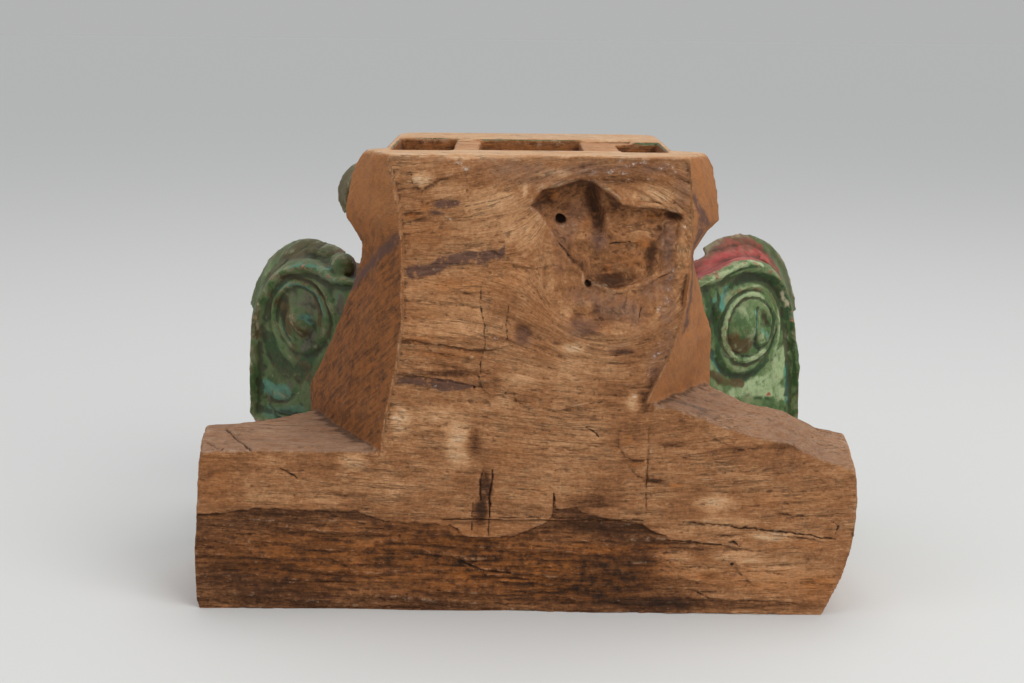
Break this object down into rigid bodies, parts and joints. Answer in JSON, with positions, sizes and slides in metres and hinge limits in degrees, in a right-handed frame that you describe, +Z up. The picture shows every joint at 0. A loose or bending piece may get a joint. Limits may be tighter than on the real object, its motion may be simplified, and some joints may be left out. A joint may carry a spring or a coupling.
{
  "type": "wooden capital",
  "caption": "Old carved and painted wooden pilaster capital with corner volutes, leaves and a rough back, standing on its abacus with the neck up.",
  "frame": {"origin": "middle of the underside, on the face the capital stands on", "axes": "+X along the abacus from the left to the right volute as seen from the rough back, +Y from the rough back to the carved front, +Z up to the neck and its mortises"},
  "size_m": [0.5075, 0.3201, 0.35],
  "materials": {
    "painted_wood": "bare weathered wood at the back, worn green, turquoise and red paint on the carving"
  },
  "bodies": {
    "root": {"wooden_capital": "painted_wood"}
  },
  "joints": []
}
